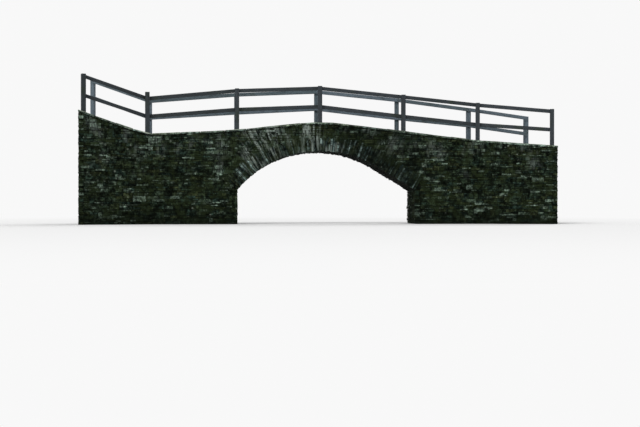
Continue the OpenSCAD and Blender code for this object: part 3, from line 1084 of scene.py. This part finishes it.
def build_timber(node, material, ends, luck, nails=()):
    """A timber from its CAD solid: arrises eased, faces uneven, grain along it and nails at its ends."""
    bm = merged_copy(node)
    ease(bm, bm.edges[:], ARRIS, 2)
    along, across, up = timber_frame(*ends)
    for step in range(1, CUTS_ALONG):
        cut_through(bm, ends[0].lerp(ends[1], step / CUTS_ALONG), along)
    bm.normal_update()
    start = luck.uniform(0, 50)
    tone_islands(bm, luck)
    grain = bm.verts.layers.float_vector.new("grain")
    for v in bm.verts:
        offset = v.co - ends[0]
        v[grain] = Vector((offset.dot(along) + start, offset.dot(across), offset.dot(up)))
        v.co -= v.normal * HOLLOWS * abs(noise.noise(v.co * 5.0))
    for place, inward in nails:
        turn = inward.to_track_quat("Z", "Y").to_matrix().to_4x4()
        made = bmesh.ops.create_cone(
            bm, cap_ends=True, segments=8, radius1=NAIL_RADIUS, radius2=NAIL_RADIUS * 0.7,
            depth=NAIL_HEIGHT, matrix=Matrix.Translation(place) @ turn,
        )
        for f in {f for v in made["verts"] for f in v.link_faces}:
            f.material_index = 1
    return to_object(bm, node + "_timber", [material, IRON] if nails else [material])


def rail_nails(side, start, end, tops_at_start, tops_at_end):
    """Two nails through each end of both rails, driven from the walkway's side.

    The tops are the heights of the handrail's and the lower rail's top edges at either end.
    """
    nails = []
    for top_start, top_end in zip(tops_at_start, tops_at_end):
        for x in (start + NAIL_FROM_END, end - NAIL_FROM_END):
            ahead, behind = line_y(x + SLOPE_STEP, RAIL_INNER), line_y(x - SLOPE_STEP, RAIL_INNER)
            inward = Vector((ahead - behind, -side * 2 * SLOPE_STEP, 0)).normalized()
            top = top_start + (top_end - top_start) * (x - start) / (end - start)
            for share in NAIL_SHARES:
                nails.append((Vector((x, side * line_y(x, RAIL_INNER), top - share * RAIL_HEIGHT)), inward))
    return nails


def build_post(node, side_name, luck):
    """One post, its grain upright."""
    low, high = (Vector(c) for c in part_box(node))
    middle = (low + high) / 2
    ends = (Vector((middle.x, middle.y, low.z)), Vector((middle.x, middle.y, high.z)))
    return build_timber(node, TIMBER_SHADED_AND_LIT[side_name], ends, luck)


def build_rails(node, side_name, luck):
    """The handrail and the lower rail of one bay, with their nails."""
    side = SIDES[side_name]
    low, high = (Vector(c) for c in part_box(node))
    tops = []
    for x in (low.x, high.x):
        zs = [v.co.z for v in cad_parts[node].data.vertices if abs(v.co.x - x) < 0.001]
        tops.append((max(zs), min(zs) + RAIL_HEIGHT))
    y0, y1 = (side * (line_y(x, FENCE_Y) - (POST_SIDE + RAIL_THICKNESS) / 2) for x in (low.x, high.x))
    ends = (Vector((low.x, y0, tops[0][0])), Vector((high.x, y1, tops[1][0])))
    return build_timber(node, TIMBER_SHADED_AND_LIT[side_name], ends, luck, rail_nails(side, low.x, high.x, *tops))


for side_name, side in SIDES.items():
    luck = random.Random(70 + side)
    for number in range(1, len(POSTS_X) + 1):
        node = f"{side_name}_post_{number}"
        settle(build_post(node, side_name, luck), node)
    for number in range(1, len(POSTS_X)):
        node = f"{side_name}_rails_{number}"
        settle(build_rails(node, side_name, luck), node)


# Fill and walkway

HOLLOW = 0.014
PEBBLES = 700
PEBBLE_SIZES = (0.006, 0.016)

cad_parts["arch_fill"].data.materials.clear()
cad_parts["arch_fill"].data.materials.append(RUBBLE)


def worn_down(y):
    """How deep feet have worn the walkway at a distance y from its middle."""
    return HOLLOW * max(0.0, 1 - (y / COPING_INNER) ** 2)


def build_path():
    """Trodden earth between the edge slabs: worn hollow along the middle, with pebbles in it."""
    luck = random.Random("path")
    bm = merged_copy("path_surface")
    for tenths in range(-70, 71, 2):
        cut_through(bm, Vector((tenths / 10, 0, 0)), Vector((1, 0, 0)))
    for hundredths in range(-100, 101, 10):
        cut_through(bm, Vector((0, hundredths / 100, 0)), Vector((0, 1, 0)))
    for v in bm.verts:
        if v.co.z > deck_z(v.co.x) - PATH_DROP - 0.004:
            worn = worn_down(v.co.y)
            v.co.z += 0.010 * noise.noise(v.co * 3.0) + 0.004 * noise.noise(v.co * 11.0) - worn
    for _ in range(PEBBLES):
        x = luck.uniform(-END_X + 0.05, END_X - 0.05)
        y = luck.uniform(-1, 1) * (line_y(x, COPING_INNER) - 0.03)
        size = luck.uniform(*PEBBLE_SIZES)
        made = bmesh.ops.create_icosphere(bm, subdivisions=1, radius=size)["verts"]
        spin = Matrix.Rotation(luck.uniform(0, math.tau), 3, "Z")
        stretch = Vector((1, luck.uniform(0.6, 1.0), luck.uniform(0.4, 0.7)))
        place = Vector((x, y, deck_z(x) - PATH_DROP - worn_down(y) - size * 0.1))
        for v in made:
            v.co = spin @ (v.co * stretch) + place
    tone_islands(bm, luck)
    return to_object(bm, "trodden_path", [PATH])


settle(build_path(), "path_surface")


# Camera, light and floor

CAMERA_PLACE = Vector((-3.195, -32.84, 0.51))
CAMERA_TURN = math.radians(5.66)
FOCAL_PIXELS = 1080.0
HORIZON_ROW = 207.0
IMAGE_WIDTH, IMAGE_HEIGHT = 640.0, 427.0
SENSOR_WIDTH = 36.0

camera_data = bpy.data.cameras.new("camera")
camera_data.sensor_fit = "HORIZONTAL"
camera_data.sensor_width = SENSOR_WIDTH
camera_data.lens = SENSOR_WIDTH * FOCAL_PIXELS / IMAGE_WIDTH
camera_data.clip_end = 500.0
camera = bpy.data.objects.new("camera", camera_data)
bpy.context.collection.objects.link(camera)
camera.location = CAMERA_PLACE
pitch = math.atan((IMAGE_HEIGHT / 2 - HORIZON_ROW) / FOCAL_PIXELS)
camera.rotation_euler = (math.pi / 2 - pitch, 0.0, -CAMERA_TURN)
bpy.context.scene.camera = camera


def soft_sun(name, towards, strength, softness):
    """A wide, even light that comes from the direction towards."""
    data = bpy.data.lights.new(name, "SUN")
    data.energy = strength
    data.angle = math.radians(softness)
    lamp = bpy.data.objects.new(name, data)
    lamp.rotation_euler = Vector(towards).to_track_quat("Z", "Y").to_euler()
    bpy.context.collection.objects.link(lamp)


soft_sun("key_light", (-0.50, -0.62, 0.80), 1.6, 30)
soft_sun("back_light", (0.55, 0.60, 0.75), 0.8, 40)

BACKDROP = grey(0.94)
WORLD_LIGHT = grey(0.5)
FLOOR_TONE = grey(0.86)
FLOOR_FADE = (10.0, 26.0)
FLOOR_HALF = 400.0
FLOOR_DROP = 0.002


def seen_directly(surface):
    """1 for rays that show the backdrop itself: from the camera, or through a gloss or glass."""
    path = surface.nodes.new("ShaderNodeLightPath")
    seen = surface.larger(path.outputs["Is Camera Ray"], path.outputs["Is Glossy Ray"])
    return surface.larger(seen, path.outputs["Is Transmission Ray"])


world = bpy.data.worlds.new("studio")
bpy.context.scene.world = world
world.use_nodes = True
studio = Shading(world.node_tree)
background = world.node_tree.nodes["Background"]
shown = studio.mix(seen_directly(studio), WORLD_LIGHT, BACKDROP)
studio.links.new(shown, background.inputs["Color"])
background.inputs["Strength"].default_value = 1.0

floor_surface = Surface("pale_floor", roughness=1.0, specular=0.0)
floor_surface.shader.inputs["Base Color"].default_value = FLOOR_TONE
glow = floor_surface.nodes.new("ShaderNodeEmission")
glow.inputs["Color"].default_value = BACKDROP
blend = floor_surface.nodes.new("ShaderNodeMixShader")
far = floor_surface.nodes.new("ShaderNodeVectorMath")
far.operation = "LENGTH"
floor_surface.links.new(floor_surface.position, far.inputs[0])
away = floor_surface.window(far.outputs["Value"], *FLOOR_FADE)
faded = floor_surface.times(away, seen_directly(floor_surface))
floor_surface.links.new(faded, blend.inputs[0])
floor_surface.links.new(floor_surface.shader.outputs[0], blend.inputs[1])
floor_surface.links.new(glow.outputs[0], blend.inputs[2])
floor_surface.links.new(blend.outputs[0], floor_surface.nodes["Material Output"].inputs["Surface"])

floor_mesh = bmesh.new()
floor_place = Matrix.Translation((0, 0, -FLOOR_DROP))
bmesh.ops.create_grid(floor_mesh, x_segments=1, y_segments=1, size=FLOOR_HALF, matrix=floor_place)
floor = to_object(floor_mesh, "floor", [floor_surface.material])

bpy.context.scene.view_settings.view_transform = "Standard"
